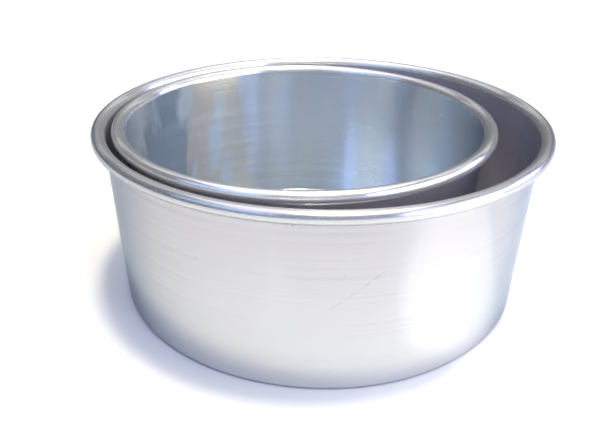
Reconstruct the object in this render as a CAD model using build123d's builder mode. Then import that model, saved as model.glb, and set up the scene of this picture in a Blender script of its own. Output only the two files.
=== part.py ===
from build123d import *

from math import cos, radians, sin
import os

# A round cake tin with a smaller tin of the same make standing inside it.
# Each tin is one disc of sheet aluminium, spun into a flat base, a wall that leans out a
# little, and a rim that turns over outwards and rolls under until its cut edge meets the wall.
# Millimetres, +Z up, origin on the table under the centre of the large tin.

os.makedirs("parts", exist_ok=True)

# Driving dimensions that both tins share
SHEET = 0.8  # thickness of the sheet
DRAFT = 1.1  # degrees that the wall leans out from upright
CORNER_RADIUS = 1.2  # outside radius where the base turns up into the wall
LIP_RADIUS = 2.75  # radius of the inner face where the wall turns out into the rim
CURL_RADIUS = 2.05  # outside radius of the roll
CURL_END = -150  # direction of the cut edge from the middle of the roll, in degrees

# Driving dimensions of each tin
LARGE_MOUTH = 152.4  # inside diameter under the lip, 6 inches
LARGE_HEIGHT = 63.5  # 2.5 inches
SMALL_MOUTH = 127.4  # inside diameter under the lip, a nominal 5 inches
SMALL_HEIGHT = 62.2
SMALL_SHIFT_X = -6.1  # from the large tin's axis to the small tin's
SMALL_SHIFT_Y = -0.5

# Turn between two points of a bend, in degrees: finest on the rim, coarsest out of sight
RIM_STEP = 30
CORNER_STEP = 45
HIDDEN_STEP = 75


def bend(centre, radius, start, end, step):
    """Points along a bend about centre, from the direction start to the direction end."""
    chords = max(1, round(abs(end - start) / step))
    angles = [radians(start + (end - start) * n / chords) for n in range(chords + 1)]
    return [(centre[0] + radius * cos(a), centre[1] + radius * sin(a)) for a in angles]


def half_section(mouth, height):
    """Outline of the sheet from the tin's axis to the cut edge, along the inside and back.

    The inside face of the wall becomes the outside of the roll. The other face runs one
    thickness behind it, round the same centres.
    """
    rim_radius = mouth / 2 + LIP_RADIUS
    lip_centre = (rim_radius, height - LIP_RADIUS)
    curl_centre = (rim_radius, height - CURL_RADIUS)
    lip_back = LIP_RADIUS - SHEET
    curl_back = CURL_RADIUS - SHEET

    # The corner's centre is one corner radius above the table and inside the wall's outer face
    across, up = cos(radians(DRAFT)), sin(radians(DRAFT))
    wall_face = lip_centre[0] * across - lip_centre[1] * up - lip_back
    corner_centre = ((wall_face - CORNER_RADIUS + CORNER_RADIUS * up) / across, CORNER_RADIUS)
    corner_inside = CORNER_RADIUS - SHEET

    return [
        (0, SHEET),
        *bend(corner_centre, corner_inside, -90, -DRAFT, HIDDEN_STEP),
        *bend(lip_centre, LIP_RADIUS, 180 - DRAFT, 90, RIM_STEP),
        *bend(curl_centre, CURL_RADIUS, 90, -90, RIM_STEP)[1:],
        *bend(curl_centre, CURL_RADIUS, -90, CURL_END, HIDDEN_STEP)[1:],
        *bend(curl_centre, curl_back, CURL_END, 90, HIDDEN_STEP),
        *bend(lip_centre, lip_back, 90, 180 - DRAFT, HIDDEN_STEP)[1:],
        *bend(corner_centre, CORNER_RADIUS, -DRAFT, -90, CORNER_STEP),
        (0, 0),
    ]


# The large tin stands on the table
with BuildPart() as large_tin:
    with BuildSketch(Plane.XZ):
        with BuildLine():
            Polyline(*half_section(LARGE_MOUTH, LARGE_HEIGHT), close=True)
        make_face()
    revolve(axis=Axis.Z)
large_tin.part.label = "large_tin"
export_step(large_tin.part, "parts/large_tin.step")

# The small tin stands on the large tin's base, off centre
small_foot = (SMALL_SHIFT_X, SMALL_SHIFT_Y, SHEET)
with BuildPart() as small_tin:
    with BuildSketch(Plane(origin=small_foot, x_dir=(1, 0, 0), z_dir=(0, -1, 0))):
        with BuildLine():
            Polyline(*half_section(SMALL_MOUTH, SMALL_HEIGHT), close=True)
        make_face()
    revolve(axis=Axis(small_foot, (0, 0, 1)))
small_tin.part.label = "small_tin"
export_step(small_tin.part, "parts/small_tin.step")
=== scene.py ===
"""A small round cake tin standing inside a larger one, both of spun aluminium, on a pale stage.

Each tin is drawn as the half-section of its sheet and spun about its axis, then given the slight
unevenness of thin metal. Everything is in metres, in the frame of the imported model.
"""

from dataclasses import dataclass
from math import atan2, cos, hypot, pi, radians, sin, tan

import bmesh
import bpy
from bpy.props import FloatProperty, FloatVectorProperty, IntProperty, PointerProperty
from mathutils import Matrix, Vector, noise


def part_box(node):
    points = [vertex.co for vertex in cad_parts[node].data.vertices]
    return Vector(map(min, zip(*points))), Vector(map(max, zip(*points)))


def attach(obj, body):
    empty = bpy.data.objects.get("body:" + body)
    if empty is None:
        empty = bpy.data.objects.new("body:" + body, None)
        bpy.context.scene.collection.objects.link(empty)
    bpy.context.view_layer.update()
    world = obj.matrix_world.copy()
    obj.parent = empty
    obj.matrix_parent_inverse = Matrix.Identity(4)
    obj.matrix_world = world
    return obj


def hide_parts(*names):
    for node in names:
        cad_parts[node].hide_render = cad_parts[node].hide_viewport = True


bl_info = {
    "name": "Nested Cake Tins",
    "version": (1, 0, 0),
    "blender": (4, 5, 0),
    "location": "View3D > Sidebar > Cake Tins",
    "description": "Spins two nested round cake tins out of sheet aluminium and sets a stage for them",
    "category": "Add Mesh",
}

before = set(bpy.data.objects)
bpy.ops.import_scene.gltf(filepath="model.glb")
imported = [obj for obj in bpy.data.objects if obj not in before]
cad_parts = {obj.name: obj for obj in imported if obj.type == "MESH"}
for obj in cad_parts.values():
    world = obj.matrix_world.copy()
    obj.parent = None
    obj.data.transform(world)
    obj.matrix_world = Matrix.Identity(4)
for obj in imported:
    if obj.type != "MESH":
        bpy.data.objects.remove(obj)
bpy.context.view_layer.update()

MM = 0.001  # a millimetre in metres
PHOTO_WIDTH = 600  # pixels
SENSOR_WIDTH = 36.0  # millimetres
SEAM_GAP = 0.002 * MM  # points nearer than this are one point


# ------------------------------------------------------------------------------- settings


class SheetSettings(bpy.types.PropertyGroup):
    """The bends of the aluminium sheet, which both tins share."""

    thickness: FloatProperty(
        name="Thickness", description="Thickness of the sheet", default=0.0008, unit="LENGTH"
    )
    draft: FloatProperty(
        name="Draft",
        description="How far the wall leans out",
        default=radians(1.1),
        subtype="ANGLE",
    )
    corner_radius: FloatProperty(
        name="Corner Radius",
        description="Outside radius where the base turns up into the wall",
        default=0.0012,
        unit="LENGTH",
    )
    lip_radius: FloatProperty(
        name="Lip Radius",
        description="Radius of the inner face where the wall turns out into the rim",
        default=0.00275,
        unit="LENGTH",
    )
    curl_radius: FloatProperty(
        name="Curl Radius", description="Outside radius of the roll", default=0.00205, unit="LENGTH"
    )
    curl_end: FloatProperty(
        name="Curl End",
        description="Direction of the cut edge from the middle of the roll",
        default=radians(-150),
        subtype="ANGLE",
    )


class MeshSettings(bpy.types.PropertyGroup):
    """How finely the tins are divided, and how far thin metal strays from true."""

    sectors: IntProperty(name="Sectors", description="Equal sectors round the axis", default=24, min=2)
    sector_steps: IntProperty(
        name="Sector Steps", description="Faces across one sector", default=20, min=1
    )
    bend_step: FloatProperty(
        name="Bend Step",
        description="Turn between two points of a bend",
        default=radians(10),
        subtype="ANGLE",
    )
    wall_rows: IntProperty(name="Wall Rows", description="Rows of faces up a wall", default=24, min=1)
    floor_rings: IntProperty(
        name="Floor Rings", description="Rings of faces across a floor", default=12, min=1
    )
    waviness: FloatProperty(
        name="Waviness",
        description="How far the wall strays from round",
        default=0.0002,
        unit="LENGTH",
    )
    wrinkle_depth: FloatProperty(
        name="Wrinkle Depth",
        description="Depth of the wrinkles in the rim",
        default=0.00008,
        unit="LENGTH",
    )
    wrinkle_cuts: IntProperty(
        name="Wrinkle Cuts",
        description="Cuts across each face of a wrinkled stretch",
        default=3,
        min=1,
    )


class FinishSettings(bpy.types.PropertyGroup):
    """Colours and gloss of the aluminium."""

    # Its lavender tint is painted shade, standing in for the bluish light in the gap between the tins
    large_inside: FloatVectorProperty(
        name="Large Inside",
        description="Inside of the large tin",
        default=(0.73, 0.70, 0.77),
        subtype="COLOR",
    )
    small_inside: FloatVectorProperty(
        name="Small Inside",
        description="Inside of the small tin",
        default=(0.72, 0.77, 0.81),
        subtype="COLOR",
    )
    # Painted shade: the large roll is darker than its lip and the small roll, standing in for the dark
    # reflection on the outer side of the roll
    large_rim: FloatVectorProperty(
        name="Large Rim",
        description="Roll of the large tin",
        default=(0.66, 0.66, 0.66),
        subtype="COLOR",
    )
    small_rim: FloatVectorProperty(
        name="Small Rim",
        description="Roll of the small tin",
        default=(0.88, 0.87, 0.84),
        subtype="COLOR",
    )
    rubbed: FloatVectorProperty(
        name="Rubbed", description="Lips, rubbed clean", default=(0.86, 0.85, 0.83), subtype="COLOR"
    )
    clouded: FloatVectorProperty(
        name="Clouded",
        description="Aluminium dulled by handling",
        default=(0.70, 0.73, 0.75),
        subtype="COLOR",
    )
    # Painted shade: these two make the outer wall darker under the rim, standing in for its dimmer
    # reflection there
    lower_wall: FloatVectorProperty(
        name="Lower Wall",
        description="Outer wall near the foot",
        default=(0.66, 0.665, 0.67),
        subtype="COLOR",
    )
    upper_wall: FloatVectorProperty(
        name="Upper Wall",
        description="Outer wall under the rim",
        default=(0.54, 0.53, 0.55),
        subtype="COLOR",
    )
    small_outside: FloatVectorProperty(
        name="Small Outside",
        description="Outside of the small tin",
        default=(0.84, 0.83, 0.86),
        subtype="COLOR",
    )
    # Painted highlight: the colour the bold spun lines inside are lifted towards, standing in for light
    # they catch
    line_highlight: FloatVectorProperty(
        name="Bright Line",
        description="Spun lines that stand out inside",
        default=(0.9, 0.91, 0.93),
        subtype="COLOR",
    )
    # Also the colour of the painted shadow along the foot
    soil_and_foot_shadow: FloatVectorProperty(
        name="Soiled",
        description="Marks, specks and worn lines",
        default=(0.2, 0.19, 0.2),
        subtype="COLOR",
    )
    # Painted reflection: its dark blue stands in for dim, bluish surroundings mirrored edge-on
    edge_tint: FloatVectorProperty(
        name="Edge Tint",
        description="Tint of what the metal mirrors edge-on",
        default=(0.42, 0.48, 0.57),
        subtype="COLOR",
    )
    metallic: FloatProperty(
        name="Metallic",
        description="Share of the light that is mirrored, not scattered",
        default=0.92,
        subtype="FACTOR",
    )
    rim_metallic: FloatProperty(
        name="Rim Metallic",
        description="The same share for the rolled rim",
        default=0.81,
        subtype="FACTOR",
    )
    large_metallic: FloatProperty(
        name="Large Inside Metallic",
        description="The same share inside the large tin",
        default=0.70,
        subtype="FACTOR",
    )
    small_metallic: FloatProperty(
        name="Small Inside Metallic",
        description="The same share inside the small tin",
        default=0.78,
        subtype="FACTOR",
    )
    wall_roughness: FloatProperty(
        name="Wall Roughness",
        description="Roughness of the spun walls",
        default=0.21,
        subtype="FACTOR",
    )
    rim_roughness: FloatProperty(
        name="Rim Roughness",
        description="Roughness of the rolled rim",
        default=0.24,
        subtype="FACTOR",
    )
    base_roughness: FloatProperty(
        name="Base Roughness",
        description="Roughness of the floor and underside",
        default=0.20,
        subtype="FACTOR",
    )


class StageSettings(bpy.types.PropertyGroup):
    """The floor, the sky and the camera."""

    floor_colour: FloatVectorProperty(
        name="Floor", description="Colour of the floor", default=(0.90, 0.90, 0.90), subtype="COLOR"
    )
    floor_size: FloatProperty(
        name="Floor Size", description="Width of the floor", default=8.0, unit="LENGTH"
    )
    low_sky: FloatVectorProperty(
        name="Low Sky",
        description="Light from near the horizon",
        default=(0.05, 0.06, 0.07),
        subtype="COLOR",
    )
    high_sky: FloatVectorProperty(
        name="High Sky",
        description="Light from overhead",
        default=(0.08, 0.08, 0.12),
        subtype="COLOR",
    )
    backdrop: FloatVectorProperty(
        name="Backdrop",
        description="What is seen beyond the floor",
        default=(0.90, 0.90, 0.91),
        subtype="COLOR",
    )
    camera_back: FloatProperty(
        name="Camera Back",
        description="From the camera to the tins' axis",
        default=0.2140,
        unit="LENGTH",
    )
    camera_height: FloatProperty(
        name="Camera Height", description="Height of the camera", default=0.1346, unit="LENGTH"
    )
    camera_pitch: FloatProperty(
        name="Camera Pitch",
        description="How far the camera looks down",
        default=radians(28.55),
        subtype="ANGLE",
    )
    camera_yaw: FloatProperty(
        name="Camera Yaw",
        description="How far the camera looks to the right",
        default=-0.0348,
        subtype="ANGLE",
    )
    camera_roll: FloatProperty(
        name="Camera Roll",
        description="Turn of the camera about its view",
        default=0.0076,
        subtype="ANGLE",
    )
    focal_pixels: FloatProperty(
        name="Focal Length", description="Focal length in pixels of the photograph", default=608.1
    )


# ------------------------------------------------------------------------------- marks of use


@dataclass
class Mark:
    """A straight mark on the outside of a tin. Each end is degrees round and millimetres up."""

    start: tuple
    end: tuple
    width: float  # millimetres
    depth: float  # how dark it is, up to 1


@dataclass
class Patch:
    """A ragged patch of another colour on the inner wall, in degrees round."""

    middle: float
    reach: float  # to each side
    colour: tuple


MARKS = {
    "large_tin": (
        Mark((14.9, 44.0), (2.9, 30.9), 0.2, 0.3),
        Mark((-5.0, 57.6), (-5.4, 60.4), 0.3, 0.6),
        Mark((-52.0, 57.0), (-53.0, 52.5), 0.25, 0.6),
    ),
}
# The first, dark blue-grey patch is painted shade, standing in for the dim light that this stretch of wall
# mirrors; the two others are warmer tones
PATCHES = {
    "small_tin": (
        Patch(-111, 27, (0.39, 0.45, 0.51)),
        Patch(-132, 11, (0.74, 0.68, 0.62)),
        Patch(-148, 10, (0.74, 0.71, 0.64)),
    ),
}

# Stretches of the rim that are puckered, in degrees round
WRINKLES = {"large_tin": ((-10.0, -6.0), (0.0, 8.5))}


# ------------------------------------------------------------------------------- geometry


@dataclass
class Tin:
    """One tin's place, read from its solid in the frame."""

    axis: Vector
    foot: float
    top: float
    rim_radius: float  # to the middle of the roll

    @classmethod
    def of_node(cls, node, sheet):
        low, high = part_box(node)
        axis = Vector(((low.x + high.x) / 2, (low.y + high.y) / 2, 0))
        return cls(axis, low.z, high.z, (high.x - low.x) / 2 - sheet.curl_radius)


# What the points of each stretch of sheet are marked with, for the finish to read
STRETCHES = {
    "floor": ("inside", "base"),
    "inner_wall": ("inside",),
    "lip": ("inside", "rim"),
    "roll": ("rim",),
    "outer_wall": (),
    "underside": ("base",),
}


class Section:
    """The half-section of a tin's sheet, drawn in the XZ plane one stretch after another."""

    def __init__(self, mesh, start):
        self.mesh = mesh
        names = ("along", "inside", "rim", "base")
        self.layers = {name: mesh.verts.layers.float.new(name) for name in names}
        self.tip = mesh.verts.new(start)
        self.mark([self.tip], "floor")

    def mark(self, verts, stretch):
        """Gives each new point its distance along the sheet and the marks of its stretch."""
        along = self.layers["along"]
        for vert in verts:
            vert[along] = self.tip[along] + (vert.co - self.tip.co).length
            for name, layer in self.layers.items():
                if name != "along":
                    vert[layer] = float(name in STRETCHES[stretch])
            self.tip = vert

    def run(self, end, rows, stretch):
        """A straight stretch to end, in so many rows."""
        step = (Vector(end) - self.tip.co) / rows
        for _ in range(rows):
            made = bmesh.ops.extrude_vert_indiv(self.mesh, verts=[self.tip])["verts"]
            bmesh.ops.translate(self.mesh, verts=made, vec=step)
            self.mark(made, stretch)

    def turn(self, centre, angle, step, stretch):
        """A bend about centre, anticlockwise where the angle is positive."""
        steps = max(1, round(abs(angle) / step))
        for _ in range(steps):
            made = bmesh.ops.extrude_vert_indiv(self.mesh, verts=[self.tip])["verts"]
            turned = Matrix.Rotation(-angle / steps, 3, "Y")
            bmesh.ops.rotate(self.mesh, verts=made, cent=centre, matrix=turned)
            self.mark(made, stretch)


def draw_section(mesh, tin, sheet, divisions):
    """The sheet from the middle of the floor, up the inside, round the rim and back underneath."""
    lip_centre = Vector((tin.rim_radius, 0, tin.top - sheet.lip_radius))
    curl_centre = Vector((tin.rim_radius, 0, tin.top - sheet.curl_radius))
    lip_back = sheet.lip_radius - sheet.thickness
    across, up = cos(sheet.draft), sin(sheet.draft)
    outward = Vector((across, 0, -up))

    # The corner's centre is one corner radius above the foot and inside the wall's outer face
    corner_z = tin.foot + sheet.corner_radius
    wall_face = lip_centre.dot(outward) - lip_back
    corner_x = (wall_face - sheet.corner_radius + corner_z * up) / across
    corner_centre = Vector((corner_x, 0, corner_z))

    quarter = pi / 2
    upright = quarter - sheet.draft
    fine = divisions.bend_step
    coarse = 2 * fine
    section = Section(mesh, (0, 0, tin.foot + sheet.thickness))
    section.run((corner_x, 0, tin.foot + sheet.thickness), divisions.floor_rings, "floor")
    section.turn(corner_centre, upright, coarse, "inner_wall")
    section.run(lip_centre - outward * sheet.lip_radius, divisions.wall_rows, "inner_wall")
    section.turn(lip_centre, -upright, fine, "lip")
    section.turn(curl_centre, sheet.curl_end - quarter, fine, "roll")
    cut = (curl_centre - section.tip.co).normalized() * sheet.thickness
    section.run(section.tip.co + cut, 1, "roll")
    section.turn(curl_centre, quarter - sheet.curl_end, coarse, "roll")
    section.turn(lip_centre, upright, coarse, "roll")
    section.run(corner_centre + outward * sheet.corner_radius, divisions.wall_rows, "outer_wall")
    section.turn(corner_centre, -upright, fine, "outer_wall")
    section.run((0, 0, tin.foot), divisions.floor_rings, "underside")


def spin_round(mesh, divisions):
    """Spins the section through one sector, then repeats the sector round the axis."""
    whole = {"cent": (0, 0, 0), "axis": (0, 0, 1)}
    sector = 2 * pi / divisions.sectors
    bmesh.ops.spin(
        mesh, geom=mesh.verts[:] + mesh.edges[:], angle=sector, steps=divisions.sector_steps, **whole
    )
    bmesh.ops.spin(
        mesh,
        geom=mesh.verts[:] + mesh.edges[:] + mesh.faces[:],
        angle=2 * pi - sector,
        steps=divisions.sectors - 1,
        use_duplicate=True,
        **whole,
    )
    bmesh.ops.remove_doubles(mesh, verts=mesh.verts, dist=SEAM_GAP)
    bmesh.ops.recalc_face_normals(mesh, faces=mesh.faces)


def azimuth(point):
    """Angle round the tin's axis, 0 at the camera's side and positive to the right."""
    return atan2(point.x, -point.y)


SWAY_ROUND = 2.4  # how quickly the sway changes round a tin
SWAY_UP = 25.0  # how quickly it changes up the wall, to a metre


def sway(mesh, tin, amount):
    """Lets the wall stray from round by up to the amount, both faces together, and never outwards."""
    still = tin.rim_radius / 2  # nearer the axis than this nothing moves
    for vert in mesh.verts:
        radius = hypot(vert.co.x, vert.co.y)
        if radius < still:
            continue
        out = Vector((vert.co.x, vert.co.y, 0)) / radius
        place = Vector((out.x * SWAY_ROUND, out.y * SWAY_ROUND, vert.co.z * SWAY_UP))
        share = 0.5 + 0.5 * noise.noise(place)  # the noise runs from -1 to 1
        vert.co -= out * amount * share


LEVEL = 0.05 * MM  # an edge that rises less than this runs round the rim
LEAST_TURN = radians(0.1)  # an edge that turns less than this runs across the rim
PUCKERS_X, PUCKERS_Y, PUCKERS_Z = 900, 300, 500  # puckers to a metre


def wrinkle_rim(mesh, start, end, divisions):
    """Puckers one stretch of the rim, where the sheet was pressed together as it was rolled."""
    rim = mesh.verts.layers.float["rim"]

    def in_stretch(vert):
        return vert[rim] > 0.5 and start < azimuth(vert.co) < end

    round_rim = [
        edge
        for edge in mesh.edges
        if all(in_stretch(vert) for vert in edge.verts)
        and abs(edge.verts[0].co.z - edge.verts[1].co.z) < LEVEL
        and abs(azimuth(edge.verts[0].co) - azimuth(edge.verts[1].co)) > LEAST_TURN
    ]
    bmesh.ops.subdivide_edges(mesh, edges=round_rim, cuts=divisions.wrinkle_cuts, use_grid_fill=True)
    for vert in mesh.verts:
        if not in_stretch(vert):
            continue
        share = (azimuth(vert.co) - start) / (end - start)
        fade = sin(pi * share) ** 0.5  # nothing at either end of the stretch
        place = Vector((vert.co.x * PUCKERS_X, vert.co.y * PUCKERS_Y, vert.co.z * PUCKERS_Z))
        pucker = noise.noise(place)
        out = Vector((vert.co.x, vert.co.y, 0)).normalized()
        vert.co -= out * divisions.wrinkle_depth * fade * max(0.0, pucker)


def spin_tin(name, node, body, context):
    """Spins a tin about its axis and puts it in place of its solid."""
    sheet = context.scene.tin_sheet
    divisions = context.scene.tin_mesh
    tin = Tin.of_node(node, sheet)
    mesh = bmesh.new()
    draw_section(mesh, tin, sheet, divisions)
    spin_round(mesh, divisions)
    sway(mesh, tin, divisions.waviness)
    for start, end in WRINKLES.get(node, ()):
        wrinkle_rim(mesh, radians(start), radians(end), divisions)
    bmesh.ops.translate(mesh, verts=mesh.verts, vec=tin.axis)
    for face in mesh.faces:
        face.smooth = True

    data = bpy.data.meshes.new(name)
    mesh.to_mesh(data)
    mesh.free()
    piece = bpy.data.objects.new(name, data)
    context.scene.collection.objects.link(piece)
    metal = spun_aluminium(f"{name}_aluminium", node, tin, body, context.scene.tin_finish)
    piece.data.materials.append(metal)
    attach(piece, body)
    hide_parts(node)
    return piece


# ------------------------------------------------------------------------------- materials


class Graph:
    """Short ways to add nodes to a tree."""

    def __init__(self, tree):
        self.tree = tree

    def add(self, kind, inputs=(), **settings):
        """A node with its settings, and its inputs linked or set by name or number."""
        node = self.tree.nodes.new(kind)
        for name, value in settings.items():
            setattr(node, name, value)
        for key, value in dict(inputs).items():
            if isinstance(value, bpy.types.NodeSocket):
                self.tree.links.new(value, node.inputs[key])
            else:
                node.inputs[key].default_value = value
        return node

    def maths(self, operation, *values, clamp=False):
        node = self.add("ShaderNodeMath", enumerate(values), operation=operation, use_clamp=clamp)
        return node.outputs[0]

    def vector(self, operation, *values):
        return self.add("ShaderNodeVectorMath", enumerate(values), operation=operation).outputs

    def joined(self, x=0.0, y=0.0, z=0.0):
        return self.add("ShaderNodeCombineXYZ", {0: x, 1: y, 2: z}).outputs[0]

    def attribute(self, name):
        return self.add("ShaderNodeAttribute", attribute_name=name).outputs["Fac"]

    def place(self):
        return self.add("ShaderNodeTexCoord").outputs["Object"]

    def parts(self, vector):
        return self.add("ShaderNodeSeparateXYZ", {0: vector}).outputs

    def effect(self, group, inputs=()):
        """The outputs of a shared group, placed with its own values."""
        return self.add("ShaderNodeGroup", inputs, node_tree=group).outputs

    def less(self, value, taken):
        return self.maths("SUBTRACT", value, taken)

    def times(self, first, second):
        return self.maths("MULTIPLY", first, second)

    def most(self, first, second):
        return self.maths("MAXIMUM", first, second)

    def noise(self, vector, scale=1.0, detail=2.0, distortion=0.0):
        inputs = {"Vector": vector, "Scale": scale, "Detail": detail, "Distortion": distortion}
        return self.add("ShaderNodeTexNoise", inputs).outputs["Fac"]

    def ranged(self, value, low, high, to_low=0.0, to_high=1.0):
        """The value, with low to high made to_low to to_high."""
        inputs = {"Value": value, "From Min": low, "From Max": high, "To Min": to_low, "To Max": to_high}
        return self.add("ShaderNodeMapRange", inputs).outputs["Result"]

    def mixed(self, share, first, second):
        return self.add("ShaderNodeMix", {0: share, 2: first, 3: second}, data_type="FLOAT").outputs[0]

    def tinted(self, share, first, second):
        """A mix of two colours, each an output or a setting's three numbers."""
        first, second = (c if isinstance(c, bpy.types.NodeSocket) else (*c, 1.0) for c in (first, second))
        return self.add("ShaderNodeMix", {0: share, 6: first, 7: second}, data_type="RGBA").outputs[2]


def shared_group(name, inputs, outputs, build):
    """The node group of that name, built on first use, with number sockets.

    inputs gives each input's name and default. build gets the graph and the inputs' sockets by
    name, and gives back the outputs' values in order.
    """
    found = bpy.data.node_groups.get(name)
    if found:
        return found
    tree = bpy.data.node_groups.new(name, "ShaderNodeTree")
    for title, default in inputs.items():
        socket = tree.interface.new_socket(title, in_out="INPUT", socket_type="NodeSocketFloat")
        socket.default_value = default
    for title in outputs:
        tree.interface.new_socket(title, in_out="OUTPUT", socket_type="NodeSocketFloat")
    graph = Graph(tree)
    given = graph.add("NodeGroupInput").outputs
    handed = graph.add("NodeGroupOutput").inputs
    for title, value in zip(outputs, build(graph, given)):
        tree.links.new(value, handed[title])
    return tree


def spun_lines():
    """Lines that run round the axis, as a spinning tool leaves them, and a few that stand out."""

    def build(graph, given):
        parts = graph.parts(graph.place())
        x = graph.times(parts[0], given["Wander"])
        y = graph.times(parts[1], given["Wander"])
        along = graph.attribute("along")
        fine = graph.noise(graph.joined(x, y, graph.maths("DIVIDE", along, given["Fine Pitch"])))
        broad = graph.noise(graph.joined(x, y, graph.maths("DIVIDE", along, given["Broad Pitch"])))
        patch = graph.ranged(graph.noise(graph.place(), given["Patches"], detail=1.0), low=0.5, high=0.7)
        bold = graph.times(graph.ranged(fine, low=0.5, high=0.8), patch)
        return fine, broad, bold

    inputs = {"Fine Pitch": 0.0008, "Broad Pitch": 0.005, "Wander": 5.0, "Patches": 28.0}
    return shared_group("spun_lines", inputs, ("Fine", "Broad", "Bold"), build)


def angle_round(graph, place, given):
    """The angle of a place round a tin's axis, as azimuth gives it."""
    parts = graph.parts(place)
    x = graph.less(parts[0], given["Axis X"])
    y = graph.less(given["Axis Y"], parts[1])
    return graph.maths("ARCTAN2", x, y)


CLOUD_STRETCH = (1.0, 1.0, 0.4)  # clouds are taller than they are wide
CLOUD_EDGE = 0.15  # share of its reach over which a cloud fades in


def dull_clouds_and_shade_patches():
    """Patches with ragged upright edges about one direction, where handling has dulled the metal, and also
    the patches of the inner wall, one of which is painted shade.
    """

    def build(graph, given):
        place = graph.place()
        stretched = graph.vector("MULTIPLY", place, CLOUD_STRETCH)[0]
        cloud = graph.noise(stretched, given["Scale"], detail=8.0, distortion=0.5)
        angle = angle_round(graph, place, given)
        turn = graph.maths("ABSOLUTE", graph.less(angle, given["Middle"]))
        near = graph.ranged(turn, low=given["Reach"], high=0.0)
        drawn = graph.maths("MULTIPLY_ADD", near, given["Pull"], cloud)
        ragged = graph.ranged(drawn, given["Low"], given["High"])
        return (graph.times(ragged, graph.ranged(near, low=0.0, high=CLOUD_EDGE)),)

    # The default reach is more than half a turn, so the clouds are all round
    inputs = {
        "Scale": 55.0,
        "Axis X": 0.0,
        "Axis Y": 0.0,
        "Middle": 0.0,
        "Reach": 7.0,
        "Pull": 0.0,
        "Low": 0.52,
        "High": 0.68,
    }
    return shared_group("dull_clouds_and_shade_patches", inputs, ("Cloud",), build)


HAIR_WIDTH = 0.004  # how near its middle the noise is on a scratch
HAIR_BREAKS = 2.3  # how much finer the noise is that breaks the scratches up
CLEAN_CELLS = 0.93  # share of the cells that have no speck


def hair_scratches():
    """Fine scratches that cross the spun lines, and specks."""

    def build(graph, given):
        place = graph.place()
        field = graph.noise(place, given["Scale"], detail=3.0, distortion=1.5)
        off_middle = graph.maths("ABSOLUTE", graph.less(field, 0.5))
        line = graph.ranged(off_middle, low=HAIR_WIDTH, high=0.0)
        patchy = graph.noise(place, graph.times(given["Scale"], HAIR_BREAKS), detail=2.0)
        scratch = graph.times(line, graph.ranged(patchy, low=0.58, high=0.66))
        cells = graph.add("ShaderNodeTexVoronoi", {"Vector": place, "Scale": given["Speck Scale"]}).outputs
        tone = graph.add("ShaderNodeSeparateColor", {0: cells["Color"]}).outputs[0]
        dot = graph.ranged(cells["Distance"], low=0.12, high=0.05)
        speck = graph.times(dot, graph.maths("GREATER_THAN", tone, CLEAN_CELLS))
        return scratch, speck

    inputs = {"Scale": 40.0, "Speck Scale": 260.0}
    return shared_group("hair_scratches", inputs, ("Scratch", "Speck"), build)


MARK_CORE = 0.3  # share of a mark's width that is at full depth


def placed_mark():
    """A straight mark on the outside between two places, each an angle round and a height."""

    def build(graph, given):
        place = graph.place()
        round_wall = graph.times(angle_round(graph, place, given), given["Radius"])
        spot = graph.joined(round_wall, graph.parts(place)[2])
        ends = [
            graph.joined(graph.times(given[f"{end} Angle"], given["Radius"]), given[f"{end} Height"])
            for end in ("From", "To")
        ]
        line = graph.vector("SUBTRACT", ends[1], ends[0])[0]
        reach = graph.vector("SUBTRACT", spot, ends[0])[0]
        share = graph.maths(
            "DIVIDE",
            graph.vector("DOT_PRODUCT", reach, line)["Value"],
            graph.vector("DOT_PRODUCT", line, line)["Value"],
            clamp=True,
        )
        foot = graph.add("ShaderNodeVectorMath", {0: line, "Scale": share}, operation="SCALE").outputs[0]
        gap = graph.vector("LENGTH", graph.vector("SUBTRACT", reach, foot)[0])["Value"]
        mark = graph.ranged(gap, low=given["Width"], high=graph.times(given["Width"], MARK_CORE))
        broken = graph.ranged(graph.noise(place, given["Break Scale"], detail=1.0), low=0.42, high=0.55)
        outside = graph.less(1.0, graph.attribute("inside"))
        return (graph.times(graph.times(mark, broken), outside),)

    inputs = {
        "Axis X": 0.0,
        "Axis Y": 0.0,
        "Radius": 0.077,
        "From Angle": 0.0,
        "From Height": 0.04,
        "To Angle": 0.1,
        "To Height": 0.04,
        "Width": 0.0003,
        "Break Scale": 1800.0,
    }
    return shared_group("placed_mark", inputs, ("Mark",), build)


class Zones:
    """Masks of where on its sheet a point is, made from what the points are marked with."""

    def __init__(self, graph):
        self.rim = graph.attribute("rim")
        self.inside = graph.attribute("inside")
        self.base = graph.attribute("base")
        self.outer = graph.less(1.0, graph.most(self.inside, self.rim))
        self.inner = graph.times(self.inside, graph.less(1.0, self.rim))
        self.inner_wall = graph.times(self.inner, graph.less(1.0, self.base))


CLOUDS_OUTSIDE, CLOUDS_INSIDE = 0.15, 0.6
CLOUDS_ON_RIM = 0.2  # of what they are beside it


def clouding(graph, zones):
    """How dulled the metal is: most on the inside, and least on the rim."""
    cloud = graph.effect(dull_clouds_and_shade_patches())["Cloud"]
    clouded = graph.times(cloud, graph.mixed(zones.inside, CLOUDS_OUTSIDE, CLOUDS_INSIDE))
    return graph.times(clouded, graph.mixed(zones.rim, 1.0, CLOUDS_ON_RIM))


SPECK_DEPTH = 0.18


def soiling(graph, speck, tin, marks):
    """How dark the specks and the single marks are."""
    dark = graph.times(speck, SPECK_DEPTH)
    for mark in marks:
        inputs = {
            "Axis X": tin.axis.x,
            "Axis Y": tin.axis.y,
            "Radius": tin.rim_radius,
            "From Angle": radians(mark.start[0]),
            "From Height": mark.start[1] * MM,
            "To Angle": radians(mark.end[0]),
            "To Height": mark.end[1] * MM,
            "Width": mark.width * MM,
        }
        placed = graph.effect(placed_mark(), inputs)["Mark"]
        dark = graph.most(dark, graph.times(placed, mark.depth))
    return dark


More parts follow.
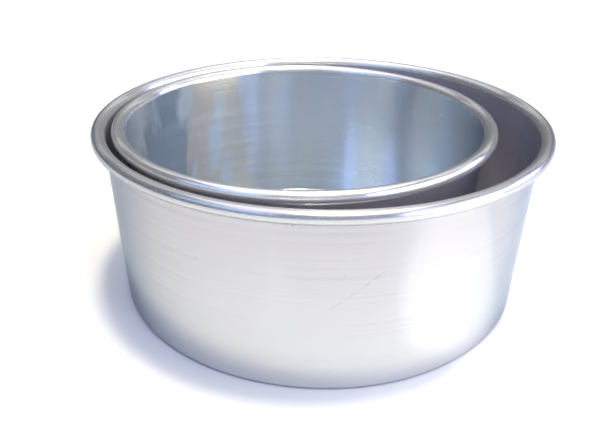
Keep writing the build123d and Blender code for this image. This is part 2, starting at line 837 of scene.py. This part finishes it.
# Painted shade: the large tin's outer wall darkens towards the rim
WALL_FADE = (0.015, 0.052)  # heights between which the outer wall turns darker, in metres


def colour_with_painted_shade(graph, zones, height, body, finish):
    """The colour of each zone, with painted shade: the large tin's roll is darker than its lip, and its
    outer wall darker towards the rim.
    """
    # The large tin's darker roll is painted shade
    rim_colour = graph.tinted(zones.inside, getattr(finish, f"{body}_rim"), finish.rubbed)
    colour = graph.tinted(zones.rim, getattr(finish, f"{body}_inside"), rim_colour)
    wall_colour = finish.small_outside
    if body == "large":
        wall_colour = graph.tinted(graph.ranged(height, *WALL_FADE), finish.lower_wall, finish.upper_wall)
    return graph.tinted(zones.outer, colour, wall_colour)


PATCH_SCALE = 60.0
PATCH_PULL = 0.3  # how much more metal a patch takes in at its middle
PATCH_LOW, PATCH_HIGH = 0.6, 0.7


def patched(graph, colour, zones, tin, patches):
    """The colour, with each patch on the inner wall, the dark one as painted shade."""
    for patch in patches:
        inputs = {
            "Scale": PATCH_SCALE,
            "Axis X": tin.axis.x,
            "Axis Y": tin.axis.y,
            "Middle": radians(patch.middle),
            "Reach": radians(patch.reach),
            "Pull": PATCH_PULL,
            "Low": PATCH_LOW,
            "High": PATCH_HIGH,
        }
        ragged = graph.effect(dull_clouds_and_shade_patches(), inputs)["Cloud"]
        colour = graph.tinted(graph.times(ragged, zones.inner_wall), colour, patch.colour)
    return colour


# Painted highlight on the bold lines inside
LINE_HIGHLIGHT_INSIDE = 0.12
WORN_BASE, WORN_OUTSIDE = 0.2, 0.16  # how dark the bold lines are
# Painted shadow: a dark line along the foot of the outer wall, where it meets the floor
FOOT_SHADOW_TOP, FOOT_SHADOW_FULL = 0.0011, 0.0004  # metres above the foot
FOOT_SHADOW_DEPTH = 0.6


def lined(graph, colour, zones, bold, dark, height, tin, finish):
    """The colour, with bold lines lit inside as painted highlight and dark elsewhere, the marks, and a
    painted shadow along the foot.
    """
    bright = graph.times(bold, graph.mixed(zones.inside, 0.0, LINE_HIGHLIGHT_INSIDE))
    colour = graph.tinted(bright, colour, finish.line_highlight)
    worn = graph.maths("MULTIPLY_ADD", zones.base, WORN_BASE, graph.times(zones.outer, WORN_OUTSIDE))
    top, full = tin.foot + FOOT_SHADOW_TOP, tin.foot + FOOT_SHADOW_FULL
    # Painted shadow along the foot
    foot = graph.times(zones.outer, graph.ranged(height, top, full, to_high=FOOT_SHADOW_DEPTH))
    shade = graph.most(dark, graph.most(graph.times(bold, worn), foot))
    return graph.tinted(shade, colour, finish.soil_and_foot_shadow)


FINE_LOW, FINE_HIGH = 0.3, 0.7  # span of the fine lines that the roughness follows
SMOOTHER, ROUGHER, ROUGHER_RIM = 0.04, 0.04, 0.06  # how far it follows them
CLOUD_ROUGHNESS = 0.05
MARK_ROUGHNESS = 0.3


def roughness(graph, zones, fine, clouded, dark, finish):
    """Rougher and smoother with the fine lines, and rougher in clouds and marks."""
    smoothest, roughest = finish.wall_roughness - SMOOTHER, finish.wall_roughness + ROUGHER
    wall = graph.ranged(fine, FINE_LOW, FINE_HIGH, smoothest, roughest)
    wall = graph.maths("MULTIPLY_ADD", clouded, CLOUD_ROUGHNESS, wall)
    smoothest, roughest = finish.rim_roughness - SMOOTHER, finish.rim_roughness + ROUGHER_RIM
    rim = graph.ranged(fine, FINE_LOW, FINE_HIGH, smoothest, roughest)
    rough = graph.mixed(zones.base, graph.mixed(zones.rim, wall, rim), finish.base_roughness)
    return graph.maths("MULTIPLY_ADD", dark, MARK_ROUGHNESS, rough)


LINE_STRENGTH = 0.3
BROAD_DEPTH, FINE_DEPTH = 0.00003, 0.00001  # metres
HAIRLINE_CUT = 0.04  # of a fine line's depth


def relief(graph, zones, lines, scratch, dark):
    """The normal, from broad lines, then fine lines with the marks and scratches cut into them."""
    broad = graph.add(
        "ShaderNodeBump", {"Strength": LINE_STRENGTH, "Distance": BROAD_DEPTH, "Height": lines["Broad"]}
    ).outputs[0]
    hairline = graph.times(scratch, graph.times(zones.outer, HAIRLINE_CUT))
    cuts = graph.maths("MULTIPLY_ADD", graph.most(dark, hairline), -1.0, lines["Fine"])
    inputs = {"Strength": LINE_STRENGTH, "Distance": FINE_DEPTH, "Height": cuts, "Normal": broad}
    return graph.add("ShaderNodeBump", inputs).outputs[0]


def spun_aluminium(name, node, tin, body, finish):
    """Spun aluminium: lines round the axis, a satin rim, dull clouds, patches and marks, with painted
    shade and painted highlight in its colour.
    """
    material = bpy.data.materials.new(name)
    material.use_nodes = True
    tree = material.node_tree
    tree.nodes.clear()
    graph = Graph(tree)
    zones = Zones(graph)
    lines = graph.effect(spun_lines())
    hair = graph.effect(hair_scratches())
    height = graph.parts(graph.place())[2]
    clouded = clouding(graph, zones)
    dark = soiling(graph, hair["Speck"], tin, MARKS.get(node, ()))

    colour = colour_with_painted_shade(graph, zones, height, body, finish)
    colour = graph.tinted(clouded, colour, finish.clouded)
    colour = patched(graph, colour, zones, tin, PATCHES.get(node, ()))
    colour = lined(graph, colour, zones, lines["Bold"], dark, height, tin, finish)
    wall_metallic = graph.mixed(zones.rim, finish.metallic, finish.rim_metallic)
    metallic = graph.mixed(zones.inner, wall_metallic, getattr(finish, f"{body}_metallic"))
    metal = graph.add(
        "ShaderNodeBsdfPrincipled",
        {
            "Base Color": colour,
            "Metallic": metallic,
            "Specular Tint": (*finish.edge_tint, 1.0),
            "Roughness": roughness(graph, zones, lines["Fine"], clouded, dark, finish),
            "Anisotropic": 0.86,
            "Anisotropic Rotation": 0.25,
            "Tangent": graph.add("ShaderNodeTangent", direction_type="RADIAL", axis="Z").outputs[0],
            "Normal": relief(graph, zones, lines, hair["Scratch"], dark),
        },
    )
    out = graph.add("ShaderNodeOutputMaterial")
    tree.links.new(metal.outputs[0], out.inputs["Surface"])
    return material


def plain_floor(stage):
    """A pale, matt floor."""
    material = bpy.data.materials.new("plain_floor")
    material.use_nodes = True
    surface = material.node_tree.nodes["Principled BSDF"]
    surface.inputs["Base Color"].default_value = (*stage.floor_colour, 1.0)
    surface.inputs["Roughness"].default_value = 0.9
    surface.inputs["Specular IOR Level"].default_value = 0.1
    return material


# ------------------------------------------------------------------------------- stage


@dataclass
class Lamp:
    """A soft box that faces the tins. Azimuth 0 is the camera's side and 90 the right."""

    name: str
    azimuth: float
    elevation: float
    wide: float  # degrees, as seen from the tins
    high: float
    glow: float  # radiance
    colour: tuple


LAMPS = (
    Lamp("ceiling", 0, 90, 58, 58, 1.5, (0.95, 0.90, 1.0)),
    Lamp("overhead", 90, 82, 28, 28, 2.2, (1.0, 0.84, 0.4)),
    Lamp("key", 97, 86, 6, 6, 140.0, (1.0, 0.96, 0.70)),
    Lamp("back", 180, 54, 80, 24, 0.7, (0.9, 0.94, 1.0)),
    Lamp("back_line", 180, 29, 90, 8, 0.6, (0.9, 0.95, 1.0)),
    Lamp("front", 0, 27, 88, 24, 0.45, (0.3, 0.5, 1.0)),
    Lamp("right_low", 68, 7, 32, 12, 5.4, (1.0, 0.9, 0.66)),
    Lamp("right_window", 82, 22, 50, 14, 5.4, (1.0, 1.0, 0.95)),
    Lamp("right_far_edge", 114, 22, 12, 14, 12.5, (0.5, 0.55, 1.0)),
    Lamp("right_near_edge", 46, 22, 14, 14, 15.0, (0.45, 0.55, 1.0)),
    Lamp("right_top", 72, 38, 41, 15, 1.6, (0.9, 0.95, 1.0)),
    Lamp("left_window", -50, 41, 45, 18, 1.6, (0.32, 0.6, 1.0)),
)
LAMP_DISTANCE = 3.0  # metres
POOL_LAMP_RADIUS = 0.005  # metres, so small that the edge of a pool is as crisp as its softness says
HORIZON = (0.15, 0.5)  # how steeply a ray rises where the low sky ends and the high sky begins


@dataclass
class Pool:
    """A patch of the floor that catches more light, for the outer wall to mirror."""

    name: str
    middle: tuple  # metres
    half_width: float
    azimuth: float  # where its light comes from, in degrees
    elevation: float
    energy: float  # watts
    softness: float  # 0 where its edge is crisp


POOLS = (
    Pool("band_pool", (0.112, -0.082, 0), 0.0467, 82, 43.5, 220.0, 0.1),
    Pool("side_pool", (0.14, 0.05, 0), 0.12, 82, 50, 210.0, 1.0),
)


def lay_floor(stage, scene):
    mesh = bmesh.new()
    bmesh.ops.create_grid(mesh, x_segments=1, y_segments=1, size=stage.floor_size / 2)
    data = bpy.data.meshes.new("floor")
    mesh.to_mesh(data)
    mesh.free()
    floor = bpy.data.objects.new("floor", data)
    scene.collection.objects.link(floor)
    floor.data.materials.append(plain_floor(stage))


def aimed_from(azimuth, elevation):
    """The place of a light that faces the origin from a direction in degrees."""
    round_axis = Matrix.Rotation(radians(azimuth), 4, "Z")
    raised = Matrix.Rotation(radians(90 - elevation), 4, "X")
    return round_axis @ raised @ Matrix.Translation((0, 0, LAMP_DISTANCE))


def hang_lamp(lamp, scene):
    data = bpy.data.lights.new(lamp.name, "AREA")
    data.shape = "RECTANGLE"
    data.size = 2 * LAMP_DISTANCE * tan(radians(lamp.wide / 2))
    data.size_y = 2 * LAMP_DISTANCE * tan(radians(lamp.high / 2))
    data.energy = lamp.glow * pi * data.size * data.size_y
    data.color = lamp.colour
    light = bpy.data.objects.new(lamp.name, data)
    light.matrix_world = aimed_from(lamp.azimuth, lamp.elevation)
    scene.collection.objects.link(light)


def light_pool(pool, scene):
    data = bpy.data.lights.new(pool.name, "SPOT")
    data.spot_size = 2 * atan2(pool.half_width, LAMP_DISTANCE)
    data.spot_blend = pool.softness
    data.shadow_soft_size = POOL_LAMP_RADIUS
    data.energy = pool.energy
    light = bpy.data.objects.new(pool.name, data)
    light.matrix_world = Matrix.Translation(pool.middle) @ aimed_from(pool.azimuth, pool.elevation)
    scene.collection.objects.link(light)


def light_world(stage, scene):
    """A dim sky, a little brighter overhead. The camera itself sees the backdrop in its place."""
    world = bpy.data.worlds.new("studio")
    world.use_nodes = True
    graph = Graph(world.node_tree)
    direction = graph.add("ShaderNodeTexCoord").outputs["Generated"]
    rise = graph.ranged(graph.parts(direction)[2], *HORIZON)
    sky = graph.tinted(rise, stage.low_sky, stage.high_sky)
    seen = graph.add("ShaderNodeLightPath").outputs["Is Camera Ray"]
    sky = graph.tinted(seen, sky, stage.backdrop)
    world.node_tree.links.new(sky, world.node_tree.nodes["Background"].inputs["Color"])
    scene.world = world


def place_camera(stage, scene):
    data = bpy.data.cameras.new("camera")
    data.sensor_width = SENSOR_WIDTH
    data.lens = stage.focal_pixels / PHOTO_WIDTH * SENSOR_WIDTH
    data.clip_start = 0.01
    camera = bpy.data.objects.new("camera", data)
    turned = (
        Matrix.Rotation(-stage.camera_yaw, 4, "Z")
        @ Matrix.Rotation(pi / 2 - stage.camera_pitch, 4, "X")
        @ Matrix.Rotation(stage.camera_roll, 4, "Z")
    )
    camera.matrix_world = Matrix.Translation((0, -stage.camera_back, stage.camera_height)) @ turned
    scene.collection.objects.link(camera)
    scene.camera = camera


# ------------------------------------------------------------------------------- operators


class TINS_OT_spin_large_tin(bpy.types.Operator):
    """Spin the large tin, which stands on the table"""

    bl_idname = "tins.spin_large_tin"
    bl_label = "Spin Large Tin"

    def execute(self, context):
        spin_tin("large_tin_shell", "large_tin", "large", context)
        return {"FINISHED"}


class TINS_OT_spin_small_tin(bpy.types.Operator):
    """Spin the small tin, which stands inside the large one"""

    bl_idname = "tins.spin_small_tin"
    bl_label = "Spin Small Tin"

    def execute(self, context):
        spin_tin("small_tin_shell", "small_tin", "small", context)
        return {"FINISHED"}


class TINS_OT_set_stage(bpy.types.Operator):
    """Lay the floor, hang the lights and place the camera"""

    bl_idname = "tins.set_stage"
    bl_label = "Set Stage"

    def execute(self, context):
        scene = context.scene
        stage = scene.tin_stage
        lay_floor(stage, scene)
        light_world(stage, scene)
        for lamp in LAMPS:
            hang_lamp(lamp, scene)
        for pool in POOLS:
            light_pool(pool, scene)
        place_camera(stage, scene)
        scene.view_settings.view_transform = "Standard"
        return {"FINISHED"}


class TINS_PT_panel(bpy.types.Panel):
    """Sizes, finishes and steps of the cake tins"""

    bl_idname = "TINS_PT_panel"
    bl_label = "Cake Tins"
    bl_space_type = "VIEW_3D"
    bl_region_type = "UI"
    bl_category = "Cake Tins"

    def draw(self, context):
        layout = self.layout
        for group in SETTINGS:
            box = layout.box()
            settings = getattr(context.scene, group)
            for name in settings.__annotations__:
                box.prop(settings, name)
        for step in STEPS:
            layout.operator(step.bl_idname)


SETTINGS = {
    "tin_sheet": SheetSettings,
    "tin_mesh": MeshSettings,
    "tin_finish": FinishSettings,
    "tin_stage": StageSettings,
}
STEPS = (TINS_OT_spin_large_tin, TINS_OT_spin_small_tin, TINS_OT_set_stage)
CLASSES = (*SETTINGS.values(), *STEPS, TINS_PT_panel)


def register():
    for cls in CLASSES:
        bpy.utils.register_class(cls)
    for name, settings in SETTINGS.items():
        setattr(bpy.types.Scene, name, PointerProperty(type=settings))


def unregister():
    for name in SETTINGS:
        delattr(bpy.types.Scene, name)
    for cls in reversed(CLASSES):
        bpy.utils.unregister_class(cls)


def main():
    register()
    bpy.ops.tins.spin_large_tin()
    bpy.ops.tins.spin_small_tin()
    bpy.ops.tins.set_stage()


if __name__ == "__main__":
    main()
